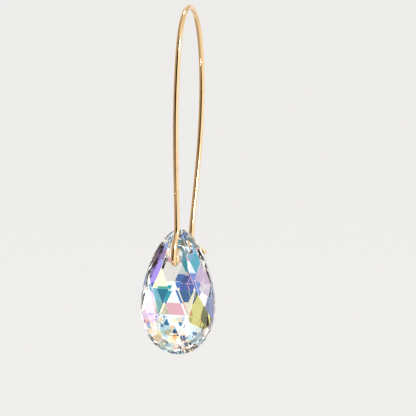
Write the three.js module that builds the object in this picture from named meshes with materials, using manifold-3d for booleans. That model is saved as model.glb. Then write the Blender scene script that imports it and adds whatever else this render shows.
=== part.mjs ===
// A teardrop earring: a facetted glass pear hangs on a long kidney ear wire bent from one round wire.
// Millimetres, +Z up. The origin is under the top of the bow, where the wire hangs in the ear lobe.
// The drop faces -Y. The front leg of the wire is on the -Y side and the back leg on the +Y side.
import * as THREE from 'three';
import { mergeVertices } from 'three/addons/utils/BufferGeometryUtils.js';
import Module from 'manifold-3d';

// ---- driving dimensions ----
const WIRE_DIAMETER = 0.72;
const WIRE_SIDES = 10;
const STEPS_PER_WIRE_POINT = 4;

const DROP_HEIGHT = 16.3;
const DROP_TOP_Z = -28.3;           // the pear's point
const DROP_X = -0.2;                // the hand-bent cradle leans a little to one side
const DROP_Y = -1.2;                // middle plane of the glass
const PEAR_POINT_WIDTH = 7.08;      // fullness of the outline at the point
const PEAR_BELLY_WIDTH = 4.82;      // what the outline gains towards the belly
const HOLE_DIAMETER = 1.7;
const HOLE_DROP = 3.0;              // from the point down to the middle of the hole
const HOLE_SIDES = 40;
const HANG_GAP = 0.05;              // between the wire and the top of the hole

const CRADLE_RADIUS = 0.55;         // the U in front of the drop, to the wire's centre
const CRADLE_Y = -4.3;
const CRADLE_BOTTOM_Z = -32.3;
const HOOK_RADIUS = 0.86;           // the catch hook around the back leg's tip, to the wire's centre
const BACK_TIP_Y = 4.1;
const BACK_TIP_Z = -32.1;

const WIRE_RADIUS = WIRE_DIAMETER / 2;
const HOLE_Z = DROP_TOP_Z - HOLE_DROP;
const HANG_Z = HOLE_Z + HOLE_DIAMETER / 2 - WIRE_RADIUS - HANG_GAP;

const gold = new THREE.MeshStandardMaterial({ name: 'gold_wire', color: 0xc9a063, roughness: 0.18, metalness: 1 });
const crystal = new THREE.MeshStandardMaterial({
  name: 'cut_glass', color: 0xe9f1f8, roughness: 0.02, metalness: 0, transparent: true, opacity: 0.4,
});

// ---- ear wire ----
// Points on the middle of the wire as [x, y, z], from the hook's cut end to the back leg's tip.
function arcPoints(centre, radius, fromDegrees, toDegrees, count, place) {
  const points = [];
  for (let i = 0; i < count; i++) {
    const angle = THREE.MathUtils.degToRad(fromDegrees + ((toDegrees - fromDegrees) * i) / (count - 1));
    points.push(place(centre, radius * Math.cos(angle), radius * Math.sin(angle), i / (count - 1)));
  }
  return points;
}

// The hook goes behind the back leg's tip and ends in a short tail that points sideways.
const hookRoute = [
  [1.95, 4.2, -32.05],
  [1.4, 4.5, -31.75],
  ...arcPoints([0, BACK_TIP_Y], HOOK_RADIUS, 58, 196, 6, ([cx, cy], dx, dy, share) => [cx + dx, cy + dy, -31.45 + 0.3 * share]),
  [-0.6, 3.0, -30.9],
  [-0.36, 1.9, -30.82],
  [DROP_X, 0.9, HANG_Z],
];

// Through the hole, out in front of the glass, and down into the U of the cradle.
const throughTheHole = [
  [DROP_X, -0.6, HANG_Z],
  [DROP_X, -1.9, HANG_Z],
  [DROP_X, -2.9, HANG_Z],
  [DROP_X + 0.08, -3.47, HANG_Z - 0.22],
  [DROP_X + 0.22, -3.72, HANG_Z - 0.62],
];
const cradleRoute = arcPoints(
  [CRADLE_Y, CRADLE_BOTTOM_Z + CRADLE_RADIUS], CRADLE_RADIUS, 0, -180, 7,
  ([cy, cz], dy, dz, share) => [DROP_X + 0.3 - 0.15 * share, cy + dy, cz + dz],
);

// From the cradle to the kink where the front leg begins.
const riseRoute = [
  [DROP_X + 0.15, -4.75, -30.7],
  [DROP_X + 0.17, -4.4, -29.7],
  [DROP_X + 0.2, -3.9, -28.85],
];

// Up the front leg, round the bow, and down the back leg, as [y, z].
const frontLeg = [
  [-3.62, -28.05], [-3.68, -27.0], [-4.0, -24.8], [-4.75, -20.8], [-5.4, -16.6], [-5.72, -12.4], [-5.6, -8.4], [-5.05, -4.7], [-4.15, -2.1], [-2.45, -0.3],
];
const bowTop = [[0, WIRE_RADIUS]];
const backLeg = [
  [2.75, -0.42], [5.2, -2.6], [7.0, -6.0], [7.9, -10.0], [8.02, -14.0], [7.5, -18.0], [6.5, -22.0],
  [5.25, -26.0], [4.42, -28.6], [BACK_TIP_Y + 0.02, -30.4], [BACK_TIP_Y, BACK_TIP_Z],
];
const legsRoute = [...frontLeg, ...bowTop, ...backLeg].map(([y, z]) => [0, y, z]);

// A smooth curve that spends the same number of steps on each stretch between two points,
// so that the tight bends, whose points are close, get short steps.
class BentWire extends THREE.CatmullRomCurve3 {
  getUtoTmapping(u) {
    return u;
  }
}

function makeEarWire() {
  const points = [...hookRoute, ...throughTheHole, ...cradleRoute, ...riseRoute, ...legsRoute];
  const route = new BentWire(points.map(([x, y, z]) => new THREE.Vector3(x, y, z)), false, 'centripetal');
  const section = new THREE.Shape();
  for (let i = 0; i < WIRE_SIDES; i++) {
    const angle = (i / WIRE_SIDES) * Math.PI * 2;
    const point = [WIRE_RADIUS * Math.cos(angle), WIRE_RADIUS * Math.sin(angle)];
    if (i === 0) section.moveTo(...point);
    else section.lineTo(...point);
  }
  section.closePath();
  const steps = (points.length - 1) * STEPS_PER_WIRE_POINT;
  return new THREE.ExtrudeGeometry(section, { steps, bevelEnabled: false, extrudePath: route });
}

// ---- crystal drop ----
// A point of the glass is given as x across, v down from the pear's point as a share of its height, and
// f out from the middle plane. The outline is x = sin(t)/2 * (point width + belly width * v), with t = 0
// at the pear's point.
function outlineAt(degrees) {
  const t = THREE.MathUtils.degToRad(degrees);
  const share = (1 - Math.cos(t)) / 2;
  const fullness = PEAR_POINT_WIDTH + PEAR_BELLY_WIDTH * share;
  const xSlope = (Math.cos(t) * fullness + (Math.sin(t) ** 2 * PEAR_BELLY_WIDTH) / 2) / 2;
  const vSlope = (DROP_HEIGHT * Math.sin(t)) / 2;
  const length = Math.hypot(xSlope, vSlope);
  return {
    x: (Math.sin(t) / 2) * fullness,
    v: share,
    along: { x: xSlope / length, v: vSlope / length / DROP_HEIGHT },
    inward: { x: -vSlope / length, v: xSlope / length / DROP_HEIGHT },
  };
}

// The named corners where the large facets meet, as [x, v, f], on the right half.
const corner = {
  shieldTop: [0.9, 0.0625, 1.355],
  shieldSide: [1.76, 0.29, 2.21],
  shieldFoot: [0.55, 0.455, 2.83],
  kiteInner: [2.9, 0.455, 2.35],
  lowerInner: [2.0, 0.68, 2.35],
  shoulder: [3.05, 0.156, 0.3],
  kiteTop: [2.3, 0.194, 1.14],
  kiteOuter: [4.4, 0.497, 0.9],
  hip: [4.65, 0.694, 0.6],
};

// Each large facet is the plane through three of its corners.
const largeFacets = [
  ['shoulder facet', corner.shieldTop, corner.shieldSide, corner.shoulder],
  ['upper triangle', corner.shieldSide, corner.shieldFoot, corner.kiteInner],
  ['lower triangle', corner.shieldFoot, corner.kiteInner, corner.lowerInner],
  ['side kite', corner.shieldSide, corner.kiteInner, corner.kiteTop],
  ['hip triangle', corner.kiteInner, corner.kiteOuter, corner.hip],
  ['lower kite', corner.kiteInner, corner.hip, corner.lowerInner],
];

// The shield with the hole in it, and the apron below it, cross the middle of the stone.
function acrossTheMiddle([x, v, f]) {
  return [-x, v, f];
}
const middleFacets = [
  ['shield', acrossTheMiddle(corner.shieldTop), corner.shieldTop, corner.shieldFoot],
  ['apron', acrossTheMiddle(corner.shieldFoot), corner.shieldFoot, corner.lowerInner],
];

// The small facets stand in rows round the outline. Each starts at height `rim` above the middle plane
// on the outline's tangent at `at` degrees, and rises inwards by `rise` for each millimetre.
const facetRows = [
  { name: 'shoulder row', rim: 0.34, rise: 1.25, at: [12, 30, 48, 66, 84, 102, 120] },
  { name: 'outer fan', rim: 0.3, rise: 0.95, at: [130, 141, 152, 163, 174] },
  { name: 'middle fan', rim: 0.46, rise: 0.64, at: [135, 146, 157, 168, 180] },
  { name: 'inner fan', rim: 0.97, rise: 0.38, at: [150, 165, 180] },
];
const girdleFacets = [0, 12, 24, 36, 48, 60, 72, 84, 96, 108, 120, 132, 144, 156, 168, 180];

const wasm = await Module();
wasm.setup();

function toSolid(geometry) {
  const bare = geometry.index ? geometry.toNonIndexed() : geometry.clone();
  bare.deleteAttribute('normal');
  bare.deleteAttribute('uv');
  const merged = mergeVertices(bare, 1e-4);
  const mesh = new wasm.Mesh({
    numProp: 3,
    vertProperties: new Float32Array(merged.attributes.position.array),
    triVerts: new Uint32Array(merged.index.array),
  });
  return new wasm.Manifold(mesh);
}

function toGeometry(solid) {
  const mesh = solid.getMesh();
  const geometry = new THREE.BufferGeometry();
  geometry.setAttribute('position', new THREE.BufferAttribute(new Float32Array(mesh.vertProperties), 3));
  geometry.setIndex(new THREE.BufferAttribute(new Uint32Array(mesh.triVerts), 1));
  return mergeVertices(geometry, 1e-3);
}

const blankSize = 40;
const stoneMiddle = new THREE.Vector3(DROP_X, DROP_Y, DROP_TOP_Z - DROP_HEIGHT / 2);

// Grinds one flat facet: takes away all that is beyond the plane through three points.
function grind(stone, [a, b, c]) {
  const plane = new THREE.Plane().setFromCoplanarPoints(a, b, c);
  if (plane.distanceToPoint(stoneMiddle) > 0) plane.negate();
  const wheel = new THREE.BoxGeometry(blankSize, blankSize, blankSize);
  wheel.translate(0, 0, blankSize / 2);
  const turn = new THREE.Quaternion().setFromUnitVectors(new THREE.Vector3(0, 0, 1), plane.normal);
  wheel.applyQuaternion(turn);
  const foot = plane.projectPoint(stoneMiddle, new THREE.Vector3());
  wheel.translate(foot.x, foot.y, foot.z);
  return stone.subtract(toSolid(wheel));
}

function stonePoint([x, v, f], half, face) {
  return new THREE.Vector3(DROP_X + half * x, DROP_Y - face * f, DROP_TOP_Z - DROP_HEIGHT * v);
}

function makeDrop() {
  const blank = new THREE.BoxGeometry(DROP_HEIGHT, DROP_HEIGHT / 2, DROP_HEIGHT * 1.5);
  blank.translate(stoneMiddle.x, stoneMiddle.y, stoneMiddle.z);
  let stone = toSolid(blank);
  const halves = [1, -1];

  for (const half of halves) {
    for (const at of girdleFacets) {
      const { x, v, along } = outlineAt(at);
      const edge = [[x, v, 0], [x, v, 1], [x + along.x, v + along.v, 0]];
      stone = grind(stone, edge.map((point) => stonePoint(point, half, 1)));
    }
    for (const face of halves) {
      for (const [, ...corners] of largeFacets) {
        stone = grind(stone, corners.map((point) => stonePoint(point, half, face)));
      }
      for (const { rim, rise, at: row } of facetRows) {
        for (const at of row) {
          const { x, v, along, inward } = outlineAt(at);
          const facet = [[x, v, rim], [x + along.x, v + along.v, rim], [x + inward.x, v + inward.v, rim + rise]];
          stone = grind(stone, facet.map((point) => stonePoint(point, half, face)));
        }
      }
    }
  }
  for (const face of halves) {
    for (const [, ...corners] of middleFacets) {
      stone = grind(stone, corners.map((point) => stonePoint(point, 1, face)));
    }
  }

  const drill = new THREE.CylinderGeometry(HOLE_DIAMETER / 2, HOLE_DIAMETER / 2, DROP_HEIGHT, HOLE_SIDES);
  drill.translate(DROP_X, DROP_Y, HOLE_Z);
  return toGeometry(stone.subtract(toSolid(drill)));
}

// ---- assembly ----
const earWire = new THREE.Mesh(makeEarWire(), gold);
earWire.name = 'ear_wire';

const drop = new THREE.Mesh(makeDrop(), crystal);
drop.name = 'crystal_drop';

const earring = new THREE.Group();
earring.name = 'teardrop_earring';
earring.add(earWire, drop);

export default earring;
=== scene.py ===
# A teardrop earring: a facetted glass pear hangs on a long ear wire bent from one round gold wire.
import math

import bmesh
import bpy
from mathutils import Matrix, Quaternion, Vector


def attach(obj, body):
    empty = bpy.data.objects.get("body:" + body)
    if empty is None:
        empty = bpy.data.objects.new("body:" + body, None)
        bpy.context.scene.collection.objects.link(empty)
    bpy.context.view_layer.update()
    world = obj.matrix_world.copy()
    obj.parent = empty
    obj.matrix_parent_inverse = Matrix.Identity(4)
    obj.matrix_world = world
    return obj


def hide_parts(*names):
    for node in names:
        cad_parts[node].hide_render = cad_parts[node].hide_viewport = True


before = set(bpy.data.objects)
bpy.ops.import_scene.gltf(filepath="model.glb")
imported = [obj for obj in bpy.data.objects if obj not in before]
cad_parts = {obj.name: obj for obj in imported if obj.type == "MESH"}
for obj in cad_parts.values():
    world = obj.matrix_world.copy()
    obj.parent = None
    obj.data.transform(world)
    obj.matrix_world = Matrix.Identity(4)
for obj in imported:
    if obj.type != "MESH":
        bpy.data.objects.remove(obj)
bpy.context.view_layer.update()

# Studio: the earring hangs free over a wide pale floor, in soft daylight that comes mostly from its
# right. The side where the viewer stands is dim, and shows in the gold and in the glass.
MM = 0.001
PALE = (0.851, 0.844, 0.832)


class Sock:
    """One socket of a node tree, so that shader maths can be written as expressions."""

    def __init__(self, tree, socket):
        self.tree, self.socket = tree, socket

    def node(self, kind, settings=None, out=0, **sockets):
        """Adds a node with its settings, then fills its sockets; s0, s1... name sockets by number."""
        made = self.tree.nodes.new(kind)
        for key, value in (settings or {}).items():
            if key == "stops":
                ramp = made.color_ramp
                while len(ramp.elements) < len(value):
                    ramp.elements.new(0.5)
                for element, (place, colour) in zip(ramp.elements, value):
                    element.position, element.color = place, (*colour, 1)
            else:
                setattr(made, key, value)
        for key, value in sockets.items():
            socket = made.inputs[int(key[1:])] if key[1:].isdigit() else made.inputs[key.replace("_", " ")]
            if isinstance(value, Sock):
                self.tree.links.new(value.socket, socket)
            else:
                socket.default_value = value
        return Sock(self.tree, made.outputs[out])

    def maths(self, operation, other=0.0, swap=False):
        first, second = (other, self) if swap else (self, other)
        return self.node("ShaderNodeMath", {"operation": operation}, s0=first, s1=second)

    def __add__(self, other):
        return self.maths("ADD", other)

    __radd__ = __add__

    def __mul__(self, other):
        return self.maths("MULTIPLY", other)

    __rmul__ = __mul__

    def __sub__(self, other):
        return self.maths("SUBTRACT", other)

    def __rsub__(self, other):
        return self.maths("SUBTRACT", other, swap=True)

    def step(self, low, high):
        """0 under low, 1 over high, and smooth between."""
        return self.node("ShaderNodeMapRange", {"interpolation_type": "SMOOTHSTEP"},
                         s0=self, s1=low, s2=high, s3=0.0, s4=1.0)

    def mix(self, first, second):
        """A colour that goes from first to second as this socket goes from 0 to 1."""
        return self.node("ShaderNodeMix", {"data_type": "RGBA"}, out=2, s0=self, s6=first, s7=second)


def paint(colour):
    return (*colour, 1)


def new_material(name):
    made = bpy.data.materials.new(name)
    made.use_nodes = True
    shader = made.node_tree.nodes["Principled BSDF"]
    return made, shader, Sock(made.node_tree, None)


ROOM_GLOW, ROOM_GLOW_THROUGH_GLASS = (1.0, 1.0, 1.0), (1.28, 1.26, 1.22)
WINDOW_GLOW, WINDOW_GLOW_THROUGH_GLASS = (1.35, 1.3, 1.22), (2.7, 2.65, 2.55)
WALL_GLOW, WALL_GLOW_THROUGH_GLASS = (0.5, 0.42, 0.35), (0.72, 0.7, 0.68)
VIEWER_GLOW, VIEWER_GLOW_THROUGH_GLASS = (0.015, 0.012, 0.01), (0.22, 0.3, 0.46)
GAP_GLOW, GAP_SHARE = (0.3, 0.25, 0.18), 0.45

world = bpy.data.worlds.new("studio")
bpy.context.scene.world = world
world.use_nodes = True
sky = Sock(world.node_tree, None)
direction = sky.node("ShaderNodeTexCoord", out=0)
axes = sky.node("ShaderNodeSeparateXYZ", s0=direction)
side = Sock(world.node_tree, axes.socket.node.outputs[0])
depth = Sock(world.node_tree, axes.socket.node.outputs[1])
height = Sock(world.node_tree, axes.socket.node.outputs[2])
# A tall bright window stands to the right of the viewer, a duller warm wall to the left, and between
# them, round the viewer, it is dark.
toward = 0 - depth
window = side.step(0.5, 0.62) * toward.step(-0.45, -0.2) * (0.92 - height).step(0.0, 0.2)
wall = (0 - side).step(0.0, 0.4) * toward.step(-0.5, -0.1)
viewer = toward.step(0.8, 0.9) * (0.5 - side).step(0.0, 0.1)
# Overhead and underneath, dark gaps part the bright panels; they give the cut glass its contrast.
gaps = (side * 7.0 + depth * 5.0 + height * 4.0).maths("SINE").step(0.1, 0.25)
far_up_or_down = height.maths("ABSOLUTE").step(0.3, 0.38)
# No real room does this: rays that have come through the glass see a brighter and more even room than
# the one that the gold mirrors.
through_glass = sky.node("ShaderNodeLightPath", out=6)
room = through_glass.mix(paint(ROOM_GLOW), paint(ROOM_GLOW_THROUGH_GLASS))
pane = through_glass.mix(paint(WINDOW_GLOW), paint(WINDOW_GLOW_THROUGH_GLASS))
glow = window.mix(room, pane)
glow = wall.mix(glow, through_glass.mix(paint(WALL_GLOW), paint(WALL_GLOW_THROUGH_GLASS)))
dim = through_glass.mix(paint(VIEWER_GLOW), paint(VIEWER_GLOW_THROUGH_GLASS))
glow = viewer.mix(glow, dim)
glow = (gaps * far_up_or_down * GAP_SHARE).mix(glow, paint(GAP_GLOW))
background = world.node_tree.nodes["Background"]
world.node_tree.links.new(glow.socket, background.inputs["Color"])
seen = sky.node("ShaderNodeBackground", Color=paint(PALE), Strength=1.0)
camera_ray = sky.node("ShaderNodeLightPath", out=0)
mirrored = Sock(world.node_tree, background.outputs[0])
both = sky.node("ShaderNodeMixShader", s0=camera_ray, s1=mirrored, s2=seen)
world.node_tree.links.new(both.socket, world.node_tree.nodes["World Output"].inputs["Surface"])

FLOOR_Z = -80 * MM
FLOOR_RADIUS = 2.5
FLOOR_GLOW = 0.91
bpy.ops.mesh.primitive_circle_add(
    vertices=96, radius=FLOOR_RADIUS, fill_type="NGON", location=(0, 0, FLOOR_Z))
floor = bpy.context.object
floor.name = "floor"
floor_paint, floor_shader, _ = new_material("pale_floor")
floor_shader.inputs["Base Color"].default_value = paint((0.1, 0.1, 0.1))
floor_shader.inputs["Emission Color"].default_value = paint(PALE)
floor_shader.inputs["Emission Strength"].default_value = FLOOR_GLOW
floor_shader.inputs["Specular IOR Level"].default_value = 0.0
floor_shader.inputs["Roughness"].default_value = 0.9
floor.data.materials.append(floor_paint)
floor.visible_glossy = False
floor.visible_transmission = False


def soft_box(name, place, target, size, power, colour=(1, 1, 1)):
    lamp = bpy.data.lights.new(name, "AREA")
    lamp.shape = "RECTANGLE"
    lamp.size, lamp.size_y = size
    lamp.energy = power
    lamp.color = colour
    box = bpy.data.objects.new(name, lamp)
    bpy.context.collection.objects.link(box)
    box.location = place
    box.rotation_mode = "QUATERNION"
    box.rotation_quaternion = (Vector(target) - Vector(place)).to_track_quat("-Z", "Y")
    box.visible_camera = False
    return box


MIDDLE = (0, 0, -24 * MM)
soft_box("window_pane", (0.3, -0.22, 0.12), MIDDLE, (0.05, 0.05), 0.35, (1.0, 0.98, 0.95))
soft_box("top_light", (0.05, 0.1, 0.4), MIDDLE, (0.12, 0.12), 0.35)
soft_box("low_light", (-0.12, -0.25, -0.2), MIDDLE, (0.02, 0.02), 0.5)

camera_data = bpy.data.cameras.new("camera")
camera = bpy.data.objects.new("camera", camera_data)
bpy.context.collection.objects.link(camera)
bpy.context.scene.camera = camera
AZIMUTH, ELEVATION, ROLL = math.radians(13.5), math.radians(8), math.radians(1.5)
CAMERA_DISTANCE = 0.36
VIEW_WIDTH = 53.3 * MM
to_camera = Vector((math.sin(AZIMUTH) * math.cos(ELEVATION), -math.cos(AZIMUTH) * math.cos(ELEVATION),
                    math.sin(ELEVATION)))
rightward = Vector((math.cos(AZIMUTH), math.sin(AZIMUTH), 0))
upward = to_camera.cross(rightward)
# The earring hangs left of the middle and above it.
view_middle = Vector((0, 0, 0)) + rightward * 3.08 * MM + upward * -25.3 * MM
camera.location = view_middle + to_camera * CAMERA_DISTANCE
camera.rotation_mode = "QUATERNION"
look = (-to_camera).to_track_quat("-Z", "Y")
camera.rotation_quaternion = look @ Quaternion((0, 0, 1), ROLL)
camera_data.sensor_width = 36
camera_data.lens = 36 * CAMERA_DISTANCE / VIEW_WIDTH
camera_data.clip_start, camera_data.clip_end = 0.01, 20

bpy.context.scene.view_settings.view_transform = "Standard"

# Ear wire: one length of round gold wire, bent by hand round a former. From its cut end it is the catch
# hook, the run through the drop, the cradle in front of it, the front leg, the bow and the back leg.
WIRE_RADIUS = 0.36
WIRE_SIDES = 28
WIRE_STEP = 0.12
UNEVENNESS = 0.006
HOLE_RADIUS, HOLE_Z, HANG_GAP = 0.85, -31.3, 0.05
HANG_Z = HOLE_Z + HOLE_RADIUS - WIRE_RADIUS - HANG_GAP
CRADLE_RADIUS, CRADLE_Y, CRADLE_BOTTOM_Z = 0.55, -4.3, -32.3
DROP_X = -0.2
HOOK_RADIUS, TIP_Y, TIP_Z = 0.86, 4.1, -32.1
HOOK_Z, HOOK_RISE = -31.45, 0.3


def arc(start, end, count, place):
    """Points along an arc: place(cosine, sine, share) for count angles from start to end degrees."""
    shares = [i / (count - 1) for i in range(count)]
    angles = [math.radians(start + (end - start) * share) for share in shares]
    return [place(math.cos(a), math.sin(a), share) for a, share in zip(angles, shares)]


hook = [(1.95, 4.2, -32.05), (1.4, 4.5, -31.75)]
hook += arc(58, 196, 6, lambda c, s, share: (
    HOOK_RADIUS * c, TIP_Y + HOOK_RADIUS * s, HOOK_Z + HOOK_RISE * share))
hook += [(-0.6, 3.0, -30.9), (-0.36, 1.9, -30.82), (DROP_X, 0.9, HANG_Z)]
through = [(DROP_X, -0.6, HANG_Z), (DROP_X, -1.9, HANG_Z), (DROP_X, -2.9, HANG_Z),
           (DROP_X + 0.08, -3.47, HANG_Z - 0.22), (DROP_X + 0.22, -3.72, HANG_Z - 0.62)]
cradle = arc(0, -180, 7, lambda c, s, share: (
    DROP_X + 0.3 - 0.15 * share, CRADLE_Y + CRADLE_RADIUS * c, CRADLE_BOTTOM_Z + CRADLE_RADIUS * (1 + s)))
rise = [(DROP_X + 0.15, -4.75, -30.7), (DROP_X + 0.17, -4.4, -29.7), (DROP_X + 0.2, -3.9, -28.85)]
front_leg = [(-3.62, -28.05), (-3.68, -27.0),
             (-4.0, -24.8), (-4.75, -20.8), (-5.4, -16.6), (-5.72, -12.4), (-5.6, -8.4), (-5.05, -4.7),
             (-4.15, -2.1), (-2.45, -0.3)]
back_leg = [(2.75, -0.42), (5.2, -2.6), (7.0, -6.0), (7.9, -10.0), (8.02, -14.0), (7.5, -18.0),
            (6.5, -22.0), (5.25, -26.0), (4.42, -28.6), (TIP_Y + 0.02, -30.4), (TIP_Y, TIP_Z)]
legs = [(0, y, z) for y, z in front_leg + [(0, WIRE_RADIUS)] + back_leg]
wire_points = [Vector(point) for point in hook + through + cradle + rise + legs]


def smooth_route(points, step):
    """A centripetal Catmull-Rom curve through the points, cut into steps of about the length given."""
    ends = [points[0] * 2 - points[1], *points, points[-1] * 2 - points[-2]]
    route = []
    for p0, p1, p2, p3 in zip(ends, ends[1:], ends[2:], ends[3:]):
        gaps = [max((b - a).length, 1e-6) ** 0.5 for a, b in ((p0, p1), (p1, p2), (p2, p3))]
        t1 = ((p1 - p0) / gaps[0] - (p2 - p0) / (gaps[0] + gaps[1]) + (p2 - p1) / gaps[1]) * gaps[1]
        t2 = ((p2 - p1) / gaps[1] - (p3 - p1) / (gaps[1] + gaps[2]) + (p3 - p2) / gaps[2]) * gaps[1]
        count = max(2, round((p2 - p1).length / step))
        for i in range(count):
            t = i / count
            route.append(p1 * (2 * t**3 - 3 * t**2 + 1) + t1 * (t**3 - 2 * t**2 + t)
                         + p2 * (-2 * t**3 + 3 * t**2) + t2 * (t**3 - t**2))
    return route + [points[-1]]


def sweep(name, route, radius_at, sides):
    """A closed tube along the route with domed ends; its UVs hold millimetres along and round the wire."""
    tangents = [(b - a).normalized() for a, b in zip([route[0]] + route[:-1], route[1:] + [route[-1]])]
    tangents[0], tangents[-1] = (route[1] - route[0]).normalized(), (route[-1] - route[-2]).normalized()
    across = tangents[0].orthogonal().normalized()
    rings, travelled = [], 0.0
    for i, (point, tangent) in enumerate(zip(route, tangents)):
        if i:
            across = tangents[i - 1].rotation_difference(tangent) @ across
            travelled += (point - route[i - 1]).length
        rings.append((point, tangent, across.copy(), radius_at(travelled), travelled))
    # The cut ends are filed slightly round.
    dome = [(0.0, 0.55), (0.04, 0.8), (0.1, 0.93), (0.2, 1.0)]
    total = travelled
    mesh = bmesh.new()
    uv_layer = mesh.loops.layers.uv.new("along")
    made = []
    for point, tangent, side_way, radius, at in rings:
        end_gap = min(at, total - at)
        size = next((s for d, s in reversed(dome) if end_gap >= d), dome[0][1])
        if end_gap < dome[-1][0]:
            for (d0, s0), (d1, s1) in zip(dome, dome[1:]):
                if d0 <= end_gap <= d1:
                    size = s0 + (s1 - s0) * (end_gap - d0) / (d1 - d0)
        normal = tangent.cross(side_way)
        ring = []
        for k in range(sides):
            angle = 2 * math.pi * k / sides
            offset = (side_way * math.cos(angle) + normal * math.sin(angle)) * radius * size
            ring.append(mesh.verts.new((point + offset) * MM))
        made.append((ring, at))
    for (ring, at), (after, after_at) in zip(made, made[1:]):
        for k in range(sides):
            n = (k + 1) % sides
            face = mesh.faces.new((ring[k], ring[n], after[n], after[k]))
            face.smooth = True
            for loop, uv in zip(face.loops, ((k, at), (k + 1, at), (k + 1, after_at), (k, after_at))):
                loop[uv_layer].uv = (uv[0] / sides, uv[1])
    for ring, flip in ((made[0][0], True), (made[-1][0], False)):
        face = mesh.faces.new(ring[::-1] if flip else ring)
        for loop in face.loops:
            loop[uv_layer].uv = (0, 0)
    data = bpy.data.meshes.new(name)
    mesh.to_mesh(data)
    mesh.free()
    made_object = bpy.data.objects.new(name, data)
    bpy.context.collection.objects.link(made_object)
    return made_object


def wire_radius(travelled):
    """The wire is very slightly uneven where pliers and fingers have worked it."""
    quick, slow = math.sin(travelled * 1.9), math.sin(travelled * 0.61 + 1)
    return WIRE_RADIUS * (1 - UNEVENNESS * (1 + quick) * (1 + slow) / 2)


route = smooth_route(wire_points, WIRE_STEP)
# Short steps near both cut ends give their rounding something to bend.
first, last = route[:2], route[-2:]
route = ([first[0].lerp(first[1], t) for t in (0, 0.35, 0.7)] + route[1:-1]
         + [last[0].lerp(last[1], t) for t in (0.3, 0.65, 1)])
ear_wire = sweep("gold_ear_wire", route, wire_radius, WIRE_SIDES)

gold, shader, sock = new_material("gold_wire")
along = sock.node("ShaderNodeTexCoord", out=2)
stretched = sock.node("ShaderNodeMapping", s0=along, Scale=(60.0, 0.8, 1.0))
drawing_lines = sock.node("ShaderNodeTexNoise", s2=1.0, s3=4.0, s0=stretched)
place = sock.node("ShaderNodeTexCoord", out=3)
cloud = sock.node("ShaderNodeTexNoise", s2=900.0, s3=3.0, s0=place)
tarnish = cloud.step(0.45, 0.75)
colour = (tarnish * 0.5).mix(paint((0.88, 0.63, 0.36)), paint((0.74, 0.5, 0.27)))
links = gold.node_tree.links
links.new(colour.socket, shader.inputs["Base Color"])
links.new((drawing_lines * 0.08 + cloud * 0.06 + 0.06).socket, shader.inputs["Roughness"])
shader.inputs["Metallic"].default_value = 1.0
bump = sock.node("ShaderNodeBump", Height=drawing_lines, Strength=0.08, Distance=0.00002)
links.new(bump.socket, shader.inputs["Normal"])
ear_wire.data.materials.append(gold)
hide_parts("ear_wire")
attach(ear_wire, "wire")

# Crystal drop: a pear of clear crystal glass, cut and polished in flat facets on both faces, with a
# thin metal-oxide film that splits light into colours. A hole is drilled through it near its point.
drop_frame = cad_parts["crystal_drop"]
DROP_TOP_Z, DROP_HEIGHT = -28.3, 16.3
FACET_EDGE = 0.025
HOLE_LIP = 0.1
ON_HOLE = 0.01
FLAT_ANGLE, SHARP_ANGLE = math.radians(0.6), math.radians(2)
WELD = 0.002
GLASS_IOR = 1.56
FILM_THICKNESS, FILM_IOR = 330.0, 1.6

# Where the middle of each large facet is, as (distance from the middle line, share of the height down).
LARGE_FACETS = {
    "shield": (0.0, 0.2),
    "apron": (0.0, 0.69),
    "shoulder": (1.8, 0.16),
    "side kite": (2.9, 0.33),
    "upper triangle": (1.74, 0.4),
    "lower triangle": (1.82, 0.53),
    "lower kite": (3.1, 0.68),
    "hip triangle": (4.0, 0.56),
}
LARGE_FACET_AREA, SMALL_FACET_AREA = 2.6, 0.3
FACET_REACH = 1.3
CLEAR = (255, 255, 255)
# Colours painted on the front facets, as seen against white: left, then right. They are partly the film's
# own colour and partly painted reflection of the room as seen from one side, so left and right facets
# differ. The back takes its colours from the painted panes further down.
FILM_AND_REFLECTION_COLOURS = {
    "shield": (CLEAR, CLEAR),
    "apron": ((235, 243, 248), (235, 243, 248)),
    "shoulder": ((150, 168, 222), (232, 241, 255)),
    "side kite": ((160, 140, 228), (244, 247, 255)),
    "upper triangle": ((255, 252, 214), (245, 215, 222)),
    "lower triangle": ((110, 172, 194), (222, 218, 196)),
    "lower kite": ((236, 212, 252), (200, 198, 126)),
    "hip triangle": ((252, 252, 255), (244, 240, 254)),
}
SMALL_FACET_COLOURS = (CLEAR, (190, 216, 226), (255, 240, 205), CLEAR, (255, 234, 228),
                       CLEAR, CLEAR, (215, 234, 240), (255, 244, 225))


def film_tint(seen):
    """The colour to give glass so that light passing one face takes the colour that is seen."""
    return tuple((c / 255) ** 4.4 for c in seen)


def is_large(face):
    return face.calc_area() > LARGE_FACET_AREA * MM**2


def is_sizeable(face):
    return face.calc_area() > SMALL_FACET_AREA * MM**2


def facet_film_and_reflection_tint(face, number):
    centre = face.calc_center_median() / MM
    across, down = centre.x - DROP_X, (DROP_TOP_Z - centre.z) / DROP_HEIGHT

    def distance(name):
        x, v = LARGE_FACETS[name]
        return math.hypot(abs(across) - x, (down - v) * DROP_HEIGHT)

    nearest = min(LARGE_FACETS, key=distance)
    if is_large(face) and distance(nearest) < FACET_REACH:
        is_front = face.normal.y < 0
        return FILM_AND_REFLECTION_COLOURS[nearest][1 if across > 0 else 0] if is_front else CLEAR
    if is_sizeable(face):
        return SMALL_FACET_COLOURS[number % len(SMALL_FACET_COLOURS)]
    return CLEAR


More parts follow.
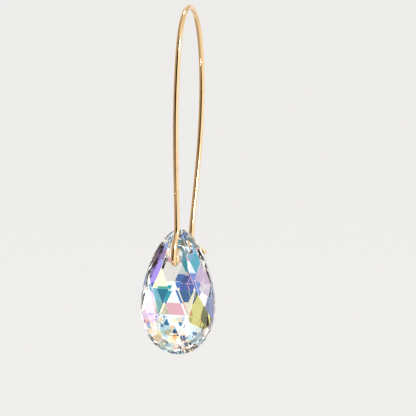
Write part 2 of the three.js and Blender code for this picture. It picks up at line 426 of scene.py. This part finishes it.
def cut_drop():
    """The stone with each facet as one face, its edges and the hole's lips just broken by polishing."""
    mesh = bmesh.new()
    mesh.from_mesh(drop_frame.data)
    bmesh.ops.remove_doubles(mesh, verts=mesh.verts, dist=WELD * MM)
    bmesh.ops.dissolve_limit(mesh, angle_limit=FLAT_ANGLE, verts=mesh.verts, edges=mesh.edges)

    def off_hole_axis(vertex):
        return math.hypot(vertex.co.x / MM - DROP_X, vertex.co.z / MM - HOLE_Z) - HOLE_RADIUS

    def on_hole(edge):
        return all(abs(off_hole_axis(v)) < ON_HOLE for v in edge.verts)

    def is_lip(edge):
        flat_sides = [f for f in edge.link_faces if any(abs(off_hole_axis(v)) >= ON_HOLE for v in f.verts)]
        return on_hole(edge) and bool(flat_sides)

    lips = [edge for edge in mesh.edges if is_lip(edge)]
    bmesh.ops.bevel(mesh, geom=lips, offset=HOLE_LIP * MM, segments=2, affect="EDGES", clamp_overlap=True)
    sharp = [edge for edge in mesh.edges
             if len(edge.link_faces) == 2 and edge.calc_face_angle() > SHARP_ANGLE
             and all(abs(off_hole_axis(v)) > HOLE_LIP * 2.5 for v in edge.verts)]
    bmesh.ops.bevel(mesh, geom=sharp, offset=FACET_EDGE * MM, segments=1, affect="EDGES",
                    clamp_overlap=True)
    # The film layer holds each facet's painted colour: partly the film's own colour, partly painted
    # reflection.
    film_and_reflection_tints = mesh.loops.layers.float_color.new("film")
    number = 0
    for face in mesh.faces:
        if is_sizeable(face):
            number += 1
        # The layer's alpha says whether the facet is one of the broad ones.
        colour = (*film_tint(facet_film_and_reflection_tint(face, number)), 1.0 if is_large(face) else 0.0)
        for loop in face.loops:
            loop[film_and_reflection_tints] = colour
        drilled = all(abs(off_hole_axis(v)) < HOLE_LIP * 1.5 for v in face.verts)
        face.material_index = 2 if drilled else 1 if face.normal.y > 0.02 else 0
        face.smooth = drilled
    data = bpy.data.meshes.new("cut_glass_drop")
    mesh.to_mesh(data)
    mesh.free()
    made = bpy.data.objects.new("cut_glass_drop", data)
    bpy.context.collection.objects.link(made)
    return made


drop = cut_drop()


def coated_glass(name, tint_of):
    """Clear glass under the film; tint_of makes its colour from the facet's painted colour, partly film and
    partly painted reflection.
    """
    made, shader, sock = new_material(name)
    tint = tint_of(sock, sock.node("ShaderNodeVertexColor", {"layer_name": "film"}))
    made.node_tree.links.new(tint.socket, shader.inputs["Base Color"])
    shader.inputs["Roughness"].default_value = 0.0
    shader.inputs["IOR"].default_value = GLASS_IOR
    shader.inputs["Transmission Weight"].default_value = 1.0
    shader.inputs["Thin Film Thickness"].default_value = FILM_THICKNESS
    shader.inputs["Thin Film IOR"].default_value = FILM_IOR
    drop.data.materials.append(made)


# A cut stone mirrors its own facets many times over. A pattern of panes painted into the back's colour
# stands in for that as painted reflection, its dark panes the dim side of the room: broad panes behind the
# large facets, and small ones behind the fan of little facets.
PANE_SIZE, PANE_RATIOS = 1.75, (0.9, 1.1, 1.3)
PANE_LEAN = 66
PANE_SEED = 21.0
# Each colour starts at a share of the panes and runs to the next.
BROAD_REFLECTION_COLOURS = (
    (0.0, CLEAR), (0.30, (222, 232, 238)), (0.46, (110, 165, 190)), (0.56, (84, 120, 192)),
    (0.64, (240, 180, 190)), (0.71, (255, 250, 210)), (0.80, (60, 160, 176)), (0.86, (200, 190, 160)),
    (0.91, (84, 84, 128)), (0.94, CLEAR),
)
SMALL_REFLECTION_COLOURS = (
    (0.0, CLEAR), (0.50, (255, 222, 200)), (0.62, (255, 248, 205)), (0.74, (150, 200, 220)),
    (0.82, (70, 130, 165)), (0.87, (240, 220, 252)), (0.92, (250, 205, 160)), (0.97, (60, 80, 120)),
)
SMALL_PANE_SHARE = 0.32
# Below this height even the broad back facets are seen through the little ones in front.
FOOT_Z = DROP_TOP_Z - 0.7 * DROP_HEIGHT
FOOT_BLEND = 0.4


def panes(sock, size, colours, seed):
    """One crisp random colour for each cell between three sets of parallel lines."""
    place = sock.node("ShaderNodeTexCoord", out=3)
    split = sock.node("ShaderNodeSeparateXYZ", s0=place)
    across, up = split, Sock(sock.tree, split.socket.node.outputs[2])
    lean = math.radians(PANE_LEAN)
    widths = [size * MM * ratio for ratio in PANE_RATIOS]
    level = up * (1 / widths[0])
    rising = (across * math.sin(lean) + up * math.cos(lean)) * (1 / widths[1])
    falling = (across * math.sin(lean) - up * math.cos(lean)) * (1 / widths[2])
    cell = level.maths("FLOOR") * 7.31 + rising.maths("FLOOR") * 3.77 + falling.maths("FLOOR") * 1.93 + seed
    pick = sock.node("ShaderNodeTexWhiteNoise", {"noise_dimensions": "1D"}, W=cell)
    stops = [(at, film_tint(colour)) for at, colour in colours]
    ramp = sock.node("ShaderNodeValToRGB", {"stops": stops}, s0=pick)
    ramp.socket.node.color_ramp.interpolation = "CONSTANT"
    return ramp


# Painted reflection on the back facets: the panes' colours, multiplied by the facet's colour.
def back_film_and_painted_reflections(sock, facet):
    layer = sock.node("ShaderNodeVertexColor", {"layer_name": "film"}, out=1)
    broad = panes(sock, PANE_SIZE, BROAD_REFLECTION_COLOURS, PANE_SEED)
    small = panes(sock, PANE_SIZE * SMALL_PANE_SHARE, SMALL_REFLECTION_COLOURS, PANE_SEED + 2)
    place = sock.node("ShaderNodeSeparateXYZ", s0=sock.node("ShaderNodeTexCoord", out=3))
    height = Sock(sock.tree, place.socket.node.outputs[2])
    above_foot = height.step((FOOT_Z - FOOT_BLEND) * MM, (FOOT_Z + FOOT_BLEND) * MM)
    mixed = (layer * above_foot).mix(small, broad)
    multiply = {"data_type": "RGBA", "blend_type": "MULTIPLY"}
    return sock.node("ShaderNodeMix", multiply, out=2, s0=1.0, s6=mixed, s7=facet)


coated_glass("coated_face_painted_reflection", lambda sock, facet: facet)
coated_glass("coated_back_painted_reflections", back_film_and_painted_reflections)

drilled, shader, sock = new_material("drilled_glass")
shader.inputs["Base Color"].default_value = paint((0.97, 0.98, 0.99))
shader.inputs["Roughness"].default_value = 0.12
shader.inputs["IOR"].default_value = GLASS_IOR
shader.inputs["Transmission Weight"].default_value = 1.0
drop.data.materials.append(drilled)
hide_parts("crystal_drop")
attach(drop, "drop")
